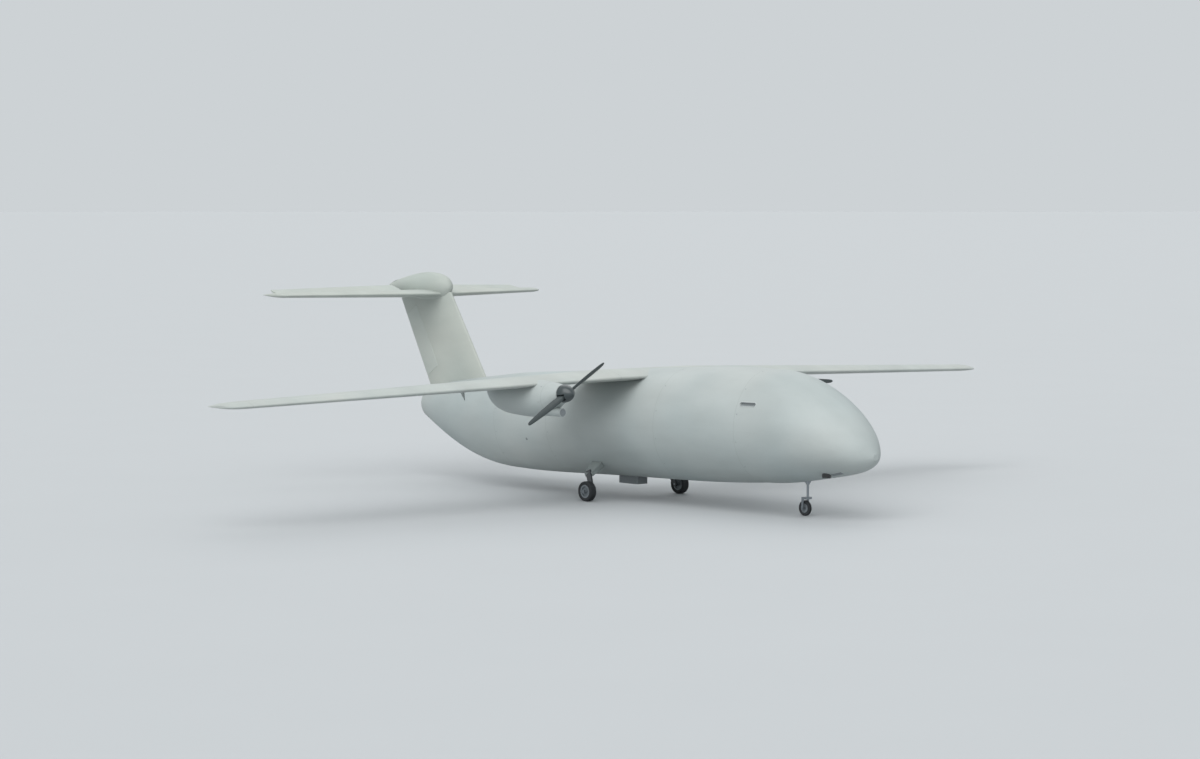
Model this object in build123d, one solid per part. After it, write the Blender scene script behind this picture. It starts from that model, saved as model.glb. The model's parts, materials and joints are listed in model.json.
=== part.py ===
from build123d import *
import os
from math import atan2, cos, radians, sin, sqrt

# A small twin-propeller pilotless aircraft with a high wing, a T-tail and a fixed tricycle gear.
# Millimetres, +X towards the nose, +Y to port, +Z up, and the ground under the tyres is Z = 0.
# Stations are measured forward from the main axle. The finished pieces are then moved so that
# the origin lies on the ground, halfway between the nose tip and the end of the tail fairing.

# Body
nose_x = 1300.0            # station of the nose tip
tail_x = -1570.0           # station of the tail fairing's point
body_end_x = -1290.0       # station of the body's blunt rear end
nose_joint_x = 765.0       # stations where the body's shells meet
forward_joint_x = 330.0
centre_joint_x = -310.0
aft_joint_x = -650.0

# Wing
span = 3880.0
wing_root_chord = 375.0
wing_tip_chord = 205.0
wing_le_x = 205.0          # station of the leading edge at the root
wing_tip_le_x = 80.0       # station of the leading edge at the tip
wing_z = 493.0             # height of the root's chord line at the leading edge
wing_tip_z = 441.0
wing_incidence = 1.5       # degrees, nose up
wing_upper = 0.085         # crest above and belly below the chord line, as shares of the chord
wing_lower = 0.046
wing_root_y = 235.0        # where the outer panels meet the centre section
wingtip_length = 75.0      # the rounded end cap
aileron_inner_y = 700.0
aileron_tip_gap = 105.0    # from an aileron's outer end to the end cap
aileron_hinge_share = 0.74
horn_inset = 90.0          # from the aileron's inner end to its control horn, an upright plate
horn_w = 3.0

# Tail
fin_base_z = 372.0
fin_base_le_x = -878.0
fin_base_chord = 402.0
fin_top_z = 782.0
fin_top_le_x = -1149.0
fin_top_chord = 356.0
fin_half = 0.052           # half thickness as a share of the chord
fin_hinge_share = 0.72
rudder_low_z = 468.0       # heights of the rudder's ends on its hinge line
rudder_high_z = 728.0
tail_half_span = 693.0
tail_z = 775.0
tail_root_le_x = -1180.0
tail_root_chord = 300.0
tail_tip_le_x = -1380.0
tail_tip_chord = 172.0
tail_half = 0.056
tail_cap = 26.0            # rounded end of each tailplane half
elevator_inner_y = 72.0
elevator_tip_gap = 7.0     # from an elevator's outer end to the end cap
elevator_hinge_share = 0.66
elevator_rest = 19.0       # degrees that both elevators stand up at rest
bullet_nose_x = -1150.0
bullet_z = 804.0
bullet_half_height = 60.0
bullet_half_width = 43.0

# Control surface fits
cove_gap = 1.6             # running gap round a surface's rounded nose
end_gap = 5.0              # gap at a surface's two ends
hinge_pin_r = 2.5
pin_play = 0.05            # radial play of every pin, axle and shaft in its bore
pin_root = 22.0            # length of a hinge pin in the fixed piece
pin_reach = 20.0           # length of a hinge pin in the moving piece
skin_step = 0.4            # how far a rounded nose lies under the skin

# Power units
nacelle_y = 600.0
hub_z = 446.0
propeller_x = 290.0        # station of the blades' mid-plane
propeller_d = 430.0
spinner_r = 34.0
spinner_length = 56.0
spinner_back = 17.0        # the spinner's back plate behind the blades' mid-plane
spinner_gap = 5.0          # between the back plate and the nacelle
motor_r = 25.0
motor_length = 52.0
shaft_r = 4.0
shaft_in_motor = 40.0
hub_r = 13.0
intake_r = 16.0
intake_bore_r = 12.5
intake_drop = 72.0         # the intake's axis below the propeller's axis
intake_length = 120.0
intake_depth = 70.0        # depth of the intake's bore

# Landing gear
track = 490.0
main_wheel_r = 39.0
main_tyre_w = 31.0
main_rim_r = 25.5
main_axle_r = 4.0
leg_knee = (-30.0, 210.0, 100.0)    # where a leg's strap runs into its cuff
leg_top = (-72.0, 112.0, 144.0)     # where the cuff's centre line ends inside the body
leg_foot_gap = 5.0         # between a leg's boss and its tyre
boss_w = 10.0
boss_r = 9.0
strap_foot = (18.0, 8.0)   # width along the body and thickness of a leg at its foot, knee and top
strap_knee = (27.0, 8.0)
cuff_knee = (35.0, 16.0)
cuff_top = (58.0, 24.0)
strap_in_cuff = 16.0
wheelbase = 944.0
nose_wheel_r = 28.5
nose_tyre_w = 13.0
nose_rim_r = 17.0
nose_axle_r = 2.5
nose_trail = 13.0          # the nose axle behind the steering axis
strut_r = 4.5
strut_top_z = 232.0
fork_gap = 5.0             # between the nose tyre and the fork
fork_wall = 4.0
sleeve_r = 12.0
sleeve_low_z = 124.0
cheek_w = 10.0             # width of the fork's cheeks along the body
cheek_boss_r = 6.0

middle_x = (nose_x + tail_x) / 2
diagonal = sqrt(0.5)

os.makedirs("parts", exist_ok=True)


def write(node, shape):
    shape = Pos(-middle_x, 0, 0) * shape
    shape.label = node
    export_step(shape, f"parts/{node}.step")


def mirrored(shape):
    return shape.mirror(Plane.XZ)


def both_sides(node, port_shape):
    write(f"{node}_port", port_shape)
    write(f"{node}_stbd", mirrored(port_shape))


def along_x(x0, x1, radius, y=0.0, z=0.0):
    """A round bar along X from station x0 to x1."""
    place = Plane(origin=(x0, y, z), x_dir=(0, 1, 0), z_dir=(1, 0, 0))
    return place * Cylinder(radius, x1 - x0, align=(Align.CENTER, Align.CENTER, Align.MIN))


def along_y(y0, y1, radius, x=0.0, z=0.0):
    place = Plane(origin=(x, y0, z), x_dir=(1, 0, 0), z_dir=(0, 1, 0))
    return place * Cylinder(radius, y1 - y0, align=(Align.CENTER, Align.CENTER, Align.MIN))


def along_z(z0, z1, radius, x=0.0, y=0.0):
    return Pos(x, y, z0) * Cylinder(radius, z1 - z0, align=(Align.CENTER, Align.CENTER, Align.MIN))


def block(x0, x1, y0, y1, z0, z1):
    return Pos(x0, y0, z0) * Box(x1 - x0, y1 - y0, z1 - z0, align=(Align.MIN, Align.MIN, Align.MIN))


def quarter(half_width, rise):
    """Radii of the crown arc and the side arc that meet smoothly at 45 degrees."""
    share = 1 - diagonal
    whole = diagonal**2 - share**2
    crown = (diagonal * half_width - share * rise) / whole
    side = (diagonal * rise - share * half_width) / whole
    return crown, side


def oval(x, top, wide, bottom, half_width, y=0.0):
    """An upright oval of six tangent arcs at station x, widest at height wide."""
    rings = []
    for rise, way in ((top - wide, 1), (wide - bottom, -1)):
        crown, side = quarter(half_width, rise)
        joint = (crown * diagonal, wide + way * side * diagonal)
        mid_x = half_width - side + side * cos(radians(22.5))
        middle = (mid_x, wide + way * side * sin(radians(22.5)))
        rings.append((joint, middle, (0, wide + way * rise)))
    (upper, upper_mid, crest), (lower, lower_mid, keel) = rings
    right = (half_width, wide)
    left = (-half_width, wide)

    def flip(point):
        return (-point[0], point[1])

    edges = [
        ThreePointArc(right, upper_mid, upper),
        ThreePointArc(upper, crest, flip(upper)),
        ThreePointArc(flip(upper), flip(upper_mid), left),
        ThreePointArc(left, flip(lower_mid), flip(lower)),
        ThreePointArc(flip(lower), keel, lower),
        ThreePointArc(lower, lower_mid, right),
    ]
    place = Plane(origin=(x, y, 0), x_dir=(0, 1, 0), z_dir=(1, 0, 0))
    return place * Face(Wire(edges))


beyond = 3000.0            # further out than any piece reaches

crest_share = 0.3          # the crest's place along the chord
nose_radius_share = 0.017
edge_share = 0.006         # thickness of the blunt trailing edge


def aerofoil(place, chord, upper, lower):
    """A section of six edges, with its leading edge at place and its chord along place's x."""
    nose_r = nose_radius_share * chord
    crest = crest_share * chord
    edge = edge_share * chord / 2

    def surface(height, way):
        radius = ((crest - nose_r) ** 2 + height**2 - nose_r**2) / (2 * (height - nose_r))
        centre = Vector(crest, height - radius)
        inward = Vector(nose_r, 0) - centre
        joint = centre + inward * (radius / inward.length)
        middle_turn = atan2(joint.X - crest, joint.Y - centre.Y) / 2
        middle = centre + Vector(sin(middle_turn), cos(middle_turn)) * radius
        front = ThreePointArc(*[(p.X, way * p.Y) for p in (joint, middle, Vector(crest, height))])
        rear = TangentArc((crest, way * height), (chord, way * edge), tangent=(1, 0))
        return (joint.X, way * joint.Y), front, rear

    top_joint, top_front, top_rear = surface(upper * chord, 1)
    low_joint, low_front, low_rear = surface(lower * chord, -1)
    nose = ThreePointArc(low_joint, (0, 0), top_joint)
    blunt = Line((chord, edge), (chord, -edge))
    return place * Face(Wire([nose, top_front, top_rear, blunt, low_rear, low_front]))


def height_at(share, chord, thickness):
    """Height of the rear arc above the chord line, at a share of the chord behind the crest."""
    crest = thickness * chord
    edge = edge_share * chord / 2
    run = (1 - crest_share) * chord
    radius = (run**2 + (crest - edge) ** 2) / (2 * (crest - edge))
    return crest - radius + sqrt(radius**2 - ((share - crest_share) * chord) ** 2)


def between(start, end, share):
    return start + (end - start) * share


# Wing sections stand upright and look outboard, tail sections too, and fin sections lie level.
def wing_plane(y):
    share = y / (span / 2)
    tilt = radians(wing_incidence)
    origin = (between(wing_le_x, wing_tip_le_x, share), y, between(wing_z, wing_tip_z, share))
    return Plane(origin=origin, x_dir=(-cos(tilt), 0, -sin(tilt)), z_dir=(0, 1, 0))


def wing_chord(y):
    return between(wing_root_chord, wing_tip_chord, y / (span / 2))


def tail_plane(y):
    share = y / tail_half_span
    origin = (between(tail_root_le_x, tail_tip_le_x, share), y, tail_z)
    return Plane(origin=origin, x_dir=(-1, 0, 0), z_dir=(0, 1, 0))


def tail_chord(y):
    return between(tail_root_chord, tail_tip_chord, y / tail_half_span)


def fin_share(z):
    return (z - fin_base_z) / (fin_top_z - fin_base_z)


def fin_plane(z):
    origin = (between(fin_base_le_x, fin_top_le_x, fin_share(z)), 0, z)
    return Plane(origin=origin, x_dir=(-1, 0, 0), z_dir=(0, 0, 1))


def fin_chord(z):
    return between(fin_base_chord, fin_top_chord, fin_share(z))


def round_end(place_of, chord_of, start, reach, upper, lower):
    """The rounded end of a wing or tailplane: sections that shrink towards the end."""
    # Columns: share of the reach, share of the chord left, share of the thickness left
    steps = ((0.0, 1.0, 1.0), (0.45, 0.955, 0.92), (0.8, 0.83, 0.7), (0.96, 0.64, 0.42), (1.0, 0.5, 0.26))
    faces = []
    for along, chord_left, thick_left in steps:
        y = start + reach * along
        chord = chord_of(y)
        place = place_of(y)
        inset = (1 - chord_left) * chord * 0.55
        shifted = Plane(origin=place.origin + place.x_dir * inset, x_dir=place.x_dir, z_dir=place.z_dir)
        thin = thick_left / chord_left
        faces.append(aerofoil(shifted, chord * chord_left, upper * thin, lower * thin))
    return loft(faces)


class Hinge:
    """A control surface's hinge line from point low to point high, with radii of its rounded nose."""

    def __init__(self, low, high, low_r, high_r):
        self.low = Vector(*low)
        self.axis = (Vector(*high) - self.low).normalized()
        self.length = (Vector(*high) - self.low).length
        back = Vector(-1, 0, 0)
        aft = (back - self.axis * back.dot(self.axis)).normalized()
        self.frame = Plane(origin=self.low, x_dir=aft, z_dir=self.axis)
        self.low_r = low_r
        self.high_r = high_r

    def cutter(self, inset, extra):
        """What lies behind the hinge line, with a rounded front, between the two ends."""
        slope = (self.high_r - self.low_r) / self.length
        run = self.length - 2 * inset
        start_r = self.low_r + slope * inset + extra
        end_r = self.high_r - slope * inset + extra
        grip = (Align.CENTER, Align.CENTER, Align.MIN)
        nose = Pos(0, 0, inset) * Cone(start_r, end_r, run, align=grip)
        behind = Pos(0, 0, inset) * Box(300, 200, run, align=(Align.MIN, Align.CENTER, Align.MIN))
        return self.frame * (nose + behind)

    def pins(self, radius, root, reach):
        """Round bars at both ends, from root outside the surface's ends to reach inside them."""
        grip = (Align.CENTER, Align.CENTER, Align.MIN)
        bar = Cylinder(radius, root + reach, align=grip)
        return [self.frame * Pos(0, 0, z) * bar for z in (-root, self.length - reach)]

    def split(self, surface):
        """The fixed piece with its hinge pins, and the moving piece with bores for them."""
        fixed = surface - self.cutter(0, cove_gap)
        moving = surface & self.cutter(end_gap, -skin_step)
        for pin in self.pins(hinge_pin_r, pin_root, pin_reach + end_gap):
            fixed = fixed + pin
        for bore in self.pins(hinge_pin_r + pin_play, 0, pin_reach + end_gap + 1):
            moving = moving - bore
        return fixed, moving


def hinge_on(place_of, chord_of, start, end, share, upper, lower):
    """The hinge of a surface cut from sections at start and end, at a share of their chords."""
    ends = []
    for station in (start, end):
        chord = chord_of(station)
        top = height_at(share, chord, upper)
        low = height_at(share, chord, lower)
        place = place_of(station)
        centre = place.from_local_coords(Vector(share * chord, (top - low) / 2, 0))
        ends.append((centre, (top + low) / 2))
    (low_point, low_r), (high_point, high_r) = ends
    return Hinge(low_point, high_point, low_r, high_r)


# Columns: station, top, widest height, bottom, half width
body_sections = (
    (nose_x - 0.5, 248, 237, 226, 12),
    (nose_x - 45, 323, 248, 189, 73),
    (nose_x - 130, 403, 272, 164, 129),
    (nose_x - 285, 492, 302, 137, 175),
    (nose_joint_x, 537, 315, 111, 198),
    (500, 535, 312, 95, 203),
    (100, 512, 300, 86, 200),
    (-300, 487, 290, 76, 194),
    (aft_joint_x, 466, 283, 74, 180),
    (body_end_x + 380, 437, 286, 104, 150),
    (body_end_x + 170, 409, 297, 176, 104),
    (body_end_x, 370, 311, 251, 51),
)


def body_loft(first, last):
    """The body from one section of the table to another."""
    return loft([oval(*section) for section in reversed(body_sections[first:last + 1])])


def slice_x(shape, x0, x1):
    return shape & block(x0, x1, -beyond, beyond, -beyond, beyond)


# The body is three lofts that share sections past their joints, so they meet smoothly.
body_front = body_loft(0, 5)
body_middle = body_loft(3, 9)
body_rear = body_loft(7, 11)

# Wing
root_face = aerofoil(wing_plane(wing_root_y), wing_chord(wing_root_y), wing_upper, wing_lower)
wing_centre = extrude(Pos(0, -2 * wing_root_y, 0) * root_face, 2 * wing_root_y, dir=(0, 1, 0))
tip_start = span / 2 - wingtip_length
aileron_outer_y = tip_start - aileron_tip_gap
panel_faces = [
    aerofoil(wing_plane(y), wing_chord(y), wing_upper, wing_lower) for y in (wing_root_y, tip_start)
]
panel = loft(panel_faces, ruled=True)
aileron_hinge = hinge_on(
    wing_plane, wing_chord, aileron_inner_y, aileron_outer_y, aileron_hinge_share, wing_upper, wing_lower
)
panel_fixed, aileron = aileron_hinge.split(panel)


def horn():
    """A three-cornered plate that hangs from the aileron, its point under the hinge line."""
    share = horn_inset / (aileron_outer_y - aileron_inner_y)
    centre = aileron_hinge.low + aileron_hinge.axis * (aileron_hinge.length * share)
    # Corners: distance ahead of the hinge line, height above it
    corners = ((-8, -3), (-2, -58), (-46, -4))
    place = Plane(origin=centre + Vector(0, horn_w / 2, 0), x_dir=(1, 0, 0), z_dir=(0, -1, 0))
    return extrude(place * Polygon(*corners, align=None), horn_w)


aileron = aileron + horn()
wingtip = round_end(wing_plane, wing_chord, tip_start, wingtip_length, wing_upper, wing_lower)

# Tail
fin_faces = [aerofoil(fin_plane(z), fin_chord(z), fin_half, fin_half) for z in (fin_base_z, fin_top_z)]
fin_whole = loft(fin_faces, ruled=True)
rudder_hinge = hinge_on(
    fin_plane, fin_chord, rudder_low_z, rudder_high_z, fin_hinge_share, fin_half, fin_half
)
fin, rudder = rudder_hinge.split(fin_whole)

tail_start = tail_half_span - tail_cap
elevator_outer_y = tail_start - elevator_tip_gap
tail_faces = [aerofoil(tail_plane(y), tail_chord(y), tail_half, tail_half) for y in (0, tail_start)]
tail_half_body = loft(tail_faces, ruled=True)
elevator_hinge = hinge_on(
    tail_plane, tail_chord, elevator_inner_y, elevator_outer_y, elevator_hinge_share, tail_half, tail_half
)
tail_cap_body = round_end(tail_plane, tail_chord, tail_start, tail_cap, tail_half, tail_half)
tailplane, elevator = elevator_hinge.split(tail_half_body)
elevator = elevator.rotate(Axis(elevator_hinge.low, elevator_hinge.axis), elevator_rest)
tailplane = tailplane + tail_cap_body


def bullet():
    # Columns: share of the length from the front, share of the full height, share of the full width
    sections = (
        (1.0, 0.1, 0.09),
        (0.75, 0.6, 0.56),
        (0.5, 0.93, 0.92),
        (0.28, 1.0, 1.0),
        (0.11, 0.8, 0.82),
        (0.03, 0.48, 0.48),
        (0.0, 0.13, 0.13),
    )
    length = bullet_nose_x - tail_x
    faces = []
    for along, tall, wide in sections:
        station = bullet_nose_x - length * along
        rise = bullet_half_height * tall
        half = bullet_half_width * wide
        faces.append(oval(station, bullet_z + rise, bullet_z, bullet_z - rise, half))
    return loft(faces)


fin = fin - tailplane - mirrored(tailplane)
fairing = bullet() - tailplane - mirrored(tailplane) - fin

# Power unit, port side
spinner_base_x = propeller_x - spinner_back
nacelle_front_x = spinner_base_x - spinner_gap
motor_back_x = nacelle_front_x - motor_length


def nacelle_body():
    # Columns: station behind the front face, top above and bottom below the propeller's axis, half width
    sections = (
        (433, 22, 14, 12),
        (380, 27, 62, 42),
        (300, 35, 88, 60),
        (200, 46, 95, 68),
        (110, 44, 91, 64),
        (40, 38, 62, 52),
        (0, 32, 34, 34),
    )
    faces = []
    for back, top, low, half in sections:
        wide = hub_z + (top - low) / 2
        faces.append(oval(nacelle_front_x - back, hub_z + top, wide, hub_z - low, half, nacelle_y))
    return loft(faces)


intake_z = hub_z - intake_drop
intake = along_x(nacelle_front_x - intake_length, nacelle_front_x, intake_r, nacelle_y, intake_z)
nacelle = nacelle_body() - panel_fixed - intake
nacelle = nacelle - along_x(motor_back_x, nacelle_front_x, motor_r, nacelle_y, hub_z)
intake = intake - along_x(nacelle_front_x - intake_depth, nacelle_front_x, intake_bore_r, nacelle_y, intake_z)
motor = along_x(motor_back_x, nacelle_front_x, motor_r, nacelle_y, hub_z)
panel_fixed = panel_fixed - motor
motor = motor - along_x(
    nacelle_front_x - shaft_in_motor - 1, nacelle_front_x, shaft_r + pin_play, nacelle_y, hub_z
)


def blade():
    # Columns: share of the tip radius, chord, thickness, pitch in degrees
    sections = (
        (0.04, 22, 10, 40),
        (0.2, 26, 6, 34),
        (0.45, 37, 4.2, 23),
        (0.75, 32, 3.0, 16),
        (0.95, 20, 2.0, 12),
        (1.0, 9, 1.2, 11),
    )
    faces = []
    for share, chord, thick, pitch in sections:
        turn = radians(pitch)
        across = Vector(sin(turn), -cos(turn), 0)
        start = Vector(0, 0, share * propeller_d / 2) - across * (chord * 0.4)
        place = Plane(origin=start, x_dir=across, z_dir=(0, 0, 1))
        faces.append(aerofoil(place, chord, thick / chord * 0.62, thick / chord * 0.38))
    return loft(faces)


def propeller():
    blades = blade()
    pair = blades + Rot(180, 0, 0) * blades
    hub = along_x(-spinner_back, 9, hub_r)
    shaft = along_x(-spinner_back - spinner_gap - shaft_in_motor, 0, shaft_r)
    return pair + hub + shaft


def spinner():
    # An ogive turned about the axis, from its back plate to its tip.
    rim = (0, spinner_r)
    tip = (spinner_length, 0)
    profile = Face(Wire([Line((0, 0), rim), TangentArc(rim, tip, tangent=(1, 0.05)), Line(tip, (0, 0))]))
    dome = revolve(profile, Axis.X)
    dome = Pos(-spinner_back, 0, 0) * dome
    slot = Box(30, 26, 2 * propeller_d)
    return dome - slot - along_x(-spinner_back, 9, hub_r)


def at_hub(shape, side, turn):
    return Pos(propeller_x, side * nacelle_y, hub_z) * Rot(turn, 0, 0) * shape


# Landing gear
def wheel(radius, width, rim_r, bore_r):
    """A tyre and a hub about the Y axis."""
    half = width / 2
    hub_half = half * 0.8
    # Corners of the tyre's section: radius, distance from the wheel's middle plane
    right = ((rim_r, hub_half), (radius * 0.9, half), (radius * 0.975, half * 0.92), (radius, half * 0.68))
    left = [(r, -y) for r, y in reversed(right)]
    tyre = revolve(make_face(Polyline(*right, *left, close=True)), Axis.Y)
    hub = along_y(-hub_half, hub_half, rim_r)
    for low, high in ((hub_half * 0.45, hub_half), (-hub_half, -hub_half * 0.45)):
        hub = hub - along_y(low, high, rim_r * 0.8)
    hub = hub + along_y(-half, half, bore_r * 1.9)
    hub = hub - along_y(-half, half, bore_r + pin_play)
    return tyre, hub


main_tyre, main_hub = wheel(main_wheel_r, main_tyre_w, main_rim_r, main_axle_r)
nose_tyre, nose_hub = wheel(nose_wheel_r, nose_tyre_w, nose_rim_r, nose_axle_r)
wheel_y = track / 2
boss_outer_y = wheel_y - main_tyre_w / 2 - leg_foot_gap
boss_inner_y = boss_outer_y - boss_w


def tapered(start, end, start_size, end_size):
    """A straight flat bar between two points, with a width and a thickness at each."""
    run = (end - start).normalized()
    flat = Vector(1, 0, 0)
    flat = (flat - run * flat.dot(run)).normalized()
    faces = []
    for point, (wide, thick) in ((start, start_size), (end, end_size)):
        faces.append(Plane(origin=point, x_dir=flat, z_dir=run) * Rectangle(wide, thick))
    return loft(faces, ruled=True)


foot = Vector(0, (boss_inner_y + boss_outer_y) / 2, main_wheel_r)
knee = Vector(*leg_knee)
strap_end = knee + (knee - foot).normalized() * strap_in_cuff
leg = tapered(foot, strap_end, strap_foot, strap_knee)
leg = leg + along_y(boss_inner_y, boss_outer_y, boss_r, 0, main_wheel_r)
leg = leg - along_y(boss_inner_y, boss_outer_y, main_axle_r, 0, main_wheel_r)
cuff = tapered(knee, Vector(*leg_top), cuff_knee, cuff_top) - leg
tyre_outer_y = wheel_y + main_tyre_w / 2
axle = along_y(boss_inner_y, tyre_outer_y + 1, main_axle_r, 0, main_wheel_r)
axle = axle + along_y(boss_outer_y, boss_outer_y + leg_foot_gap - 0.5, main_axle_r * 1.6, 0, main_wheel_r)
axle = axle + along_y(tyre_outer_y + 0.5, tyre_outer_y + 5, main_axle_r * 1.8, 0, main_wheel_r)

steer_x = wheelbase + nose_trail
crown_low_z = 2 * nose_wheel_r + fork_gap
crown_h = 8.0
fork_inner = nose_tyre_w / 2 + fork_gap
fork_outer = fork_inner + fork_wall
collar_h = 6.0
sleeve = along_z(sleeve_low_z, strut_top_z, sleeve_r, steer_x) - along_z(
    sleeve_low_z, strut_top_z, strut_r + pin_play, steer_x
)
fork = along_z(crown_low_z, strut_top_z - 4, strut_r, steer_x)
fork = fork + along_z(sleeve_low_z - 0.3 - collar_h, sleeve_low_z - 0.3, strut_r * 1.8, steer_x)
crown_front_x = steer_x + strut_r + 1.5
crown = block(
    wheelbase - cheek_w / 2, crown_front_x, -fork_outer, fork_outer, crown_low_z, crown_low_z + crown_h
)
fork = fork + crown
for side in (-1, 1):
    inner, outer = sorted((side * fork_inner, side * fork_outer))
    cheek = block(
        wheelbase - cheek_w / 2, wheelbase + cheek_w / 2, inner, outer, nose_wheel_r, crown_low_z + 1
    )
    fork = fork + cheek + along_y(inner, outer, cheek_boss_r, wheelbase, nose_wheel_r)
fork = fork - along_y(-fork_outer, fork_outer, nose_axle_r, wheelbase, nose_wheel_r)
nose_axle = along_y(-fork_outer - 3, fork_outer + 3, nose_axle_r, wheelbase, nose_wheel_r)
for low, high in ((-fork_inner, -nose_tyre_w / 2 - 0.3), (nose_tyre_w / 2 + 0.3, fork_inner)):
    nose_axle = nose_axle + along_y(low, high, nose_axle_r * 1.6, wheelbase, nose_wheel_r)

# Belly plate with its four bolt holes, and what is let into the body
plate_low_z = 56.0
plate_x = -5.0
plate_length = 112.0
plate_width = 58.0
plate_holes_x = 84.0
plate_holes_y = 34.0
plate_hole_r = 2.25
bolt_depth = 30.0
plate_h = 42.0
plate = block(
    plate_x - plate_length / 2, plate_x + plate_length / 2, -plate_width / 2, plate_width / 2,
    plate_low_z, plate_low_z + plate_h,
)
plate = fillet(plate.edges().filter_by(Axis.Z), 9)
bolt_bores = [
    along_z(plate_low_z, plate_low_z + bolt_depth, plate_hole_r, plate_x + dx, dy)
    for dx in (-plate_holes_x / 2, plate_holes_x / 2)
    for dy in (-plate_holes_y / 2, plate_holes_y / 2)
]
battery = block(520, 740, -60, 60, 170, 250)
sensor_x = 1112.0
sensor_y = -60.0
sensor = along_z(155, 185, 17, sensor_x, sensor_y)
vent_x = 817.0             # middle of the slot in each side of the nose
vent_z = 413.0
vent_length = 74.0
vent_h = 10.0
vent_floor_y = 160.0

shells = {
    "nose": slice_x(body_front, nose_joint_x, nose_x + 10),
    "forward": slice_x(body_middle, forward_joint_x, nose_joint_x),
    "centre": slice_x(body_middle, centre_joint_x, forward_joint_x),
    "aft": slice_x(body_middle, aft_joint_x, centre_joint_x),
    "tail": slice_x(body_rear, body_end_x - 10, aft_joint_x),
}
strut_well = along_z(sleeve_low_z, strut_top_z, strut_r + pin_play + 1, steer_x)
shells["nose"] = shells["nose"] - sleeve - strut_well - sensor
straight = (vent_length - vent_h) / 2
vent_low_z = vent_z - vent_h / 2
vent = block(vent_x - straight, vent_x + straight, vent_floor_y, 230, vent_low_z, vent_low_z + vent_h)
for end_x in (vent_x - straight, vent_x + straight):
    vent = vent + along_y(vent_floor_y, 230, vent_h / 2, end_x, vent_z)
shells["nose"] = shells["nose"] - vent - mirrored(vent)
shells["forward"] = shells["forward"] - battery
shells["centre"] = shells["centre"] - wing_centre - plate
cuff = cuff - shells["centre"] - plate
shells["tail"] = shells["tail"] - fin
for bore in bolt_bores:
    plate = plate - bore
for name, shell in shells.items():
    write(f"body_{name}", shell)
write("battery", battery)
write("nose_sensor", sensor)
write("belly_plate", plate)

write("wing_centre", wing_centre)
both_sides("wing_panel", panel_fixed)
both_sides("wingtip", wingtip)
both_sides("aileron", aileron)
write("fin", fin)
write("rudder", rudder)
write("fin_fairing", fairing)
both_sides("tailplane", tailplane)
both_sides("elevator", elevator)

both_sides("nacelle", nacelle)
both_sides("air_intake", intake)
both_sides("motor", motor)
blade_turn = {"port": (1, -92.0), "stbd": (-1, 120.0)}
for side_name, (side, turn) in blade_turn.items():
    write(f"propeller_{side_name}", at_hub(propeller(), side, turn))
    write(f"spinner_{side_name}", at_hub(spinner(), side, turn))

both_sides("main_leg", leg)
both_sides("leg_cuff", cuff)
both_sides("main_axle", axle)
both_sides("main_tyre", Pos(0, wheel_y, main_wheel_r) * main_tyre)
both_sides("main_hub", Pos(0, wheel_y, main_wheel_r) * main_hub)
write("nose_sleeve", sleeve)
write("nose_fork", fork)
write("nose_axle", nose_axle)
write("nose_tyre", Pos(wheelbase, 0, nose_wheel_r) * nose_tyre)
write("nose_hub", Pos(wheelbase, 0, nose_wheel_r) * nose_hub)
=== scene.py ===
"""Finishes, tyres, propellers, seams and small fittings for a pilotless aircraft, and its studio."""

import json
from math import cos, pi, radians, sin

import bmesh
import bpy
from bpy.props import FloatProperty, FloatVectorProperty, IntProperty, PointerProperty
from mathutils import Matrix, Vector


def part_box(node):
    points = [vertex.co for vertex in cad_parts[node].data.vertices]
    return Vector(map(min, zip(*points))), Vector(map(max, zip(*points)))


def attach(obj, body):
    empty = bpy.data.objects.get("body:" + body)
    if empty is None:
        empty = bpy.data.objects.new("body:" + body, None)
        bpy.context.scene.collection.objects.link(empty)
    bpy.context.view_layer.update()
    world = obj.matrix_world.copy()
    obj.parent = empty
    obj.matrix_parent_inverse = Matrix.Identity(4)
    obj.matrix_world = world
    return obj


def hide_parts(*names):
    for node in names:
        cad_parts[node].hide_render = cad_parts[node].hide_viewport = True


bl_info = {
    "name": "Pilotless aircraft dressing",
    "version": (1, 0, 0),
    "blender": (4, 5, 0),
    "location": "View3D > Sidebar > Aircraft",
    "description": "Gives the packed aircraft its finishes, tyres, seams, fasteners and studio",
    "category": "Object",
}

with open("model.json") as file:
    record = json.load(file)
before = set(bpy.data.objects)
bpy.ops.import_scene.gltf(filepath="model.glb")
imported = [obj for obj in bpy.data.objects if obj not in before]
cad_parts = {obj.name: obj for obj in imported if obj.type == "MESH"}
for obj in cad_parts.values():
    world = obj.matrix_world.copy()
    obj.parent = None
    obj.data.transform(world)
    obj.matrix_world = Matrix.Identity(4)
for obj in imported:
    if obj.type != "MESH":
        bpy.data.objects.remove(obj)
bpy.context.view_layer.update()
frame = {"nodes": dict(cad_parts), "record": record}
NODES = frame["nodes"]
MM = 0.001
SIDES = {"port": 1, "stbd": -1}     # and the sign of Y there
BODY_SHELLS = ("body_nose", "body_forward", "body_centre", "body_aft", "body_tail")
SENSOR_WIDTH = 36           # of the camera, in millimetres
SCREW_INSET = 9 * MM        # from a joint of the body to the screws ahead of it
COWL_LENGTH = 62 * MM       # from a nacelle's front to the joint behind its cowl
COWL_SCREW_INSET = 12 * MM  # from that joint to the screws behind it
MOTOR_RADIUS = 25 * MM
BOLT_CIRCLE = 13.5 * MM     # radius of the ring of bolts in a main hub
BOLT_RADIUS = 1.9 * MM
FILLER_GAP = 0.6 * MM       # from a hinged surface's end to the filler beside it
FILLER_END = 5.3 * MM       # from a hinged surface's end to the filler's far side
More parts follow.
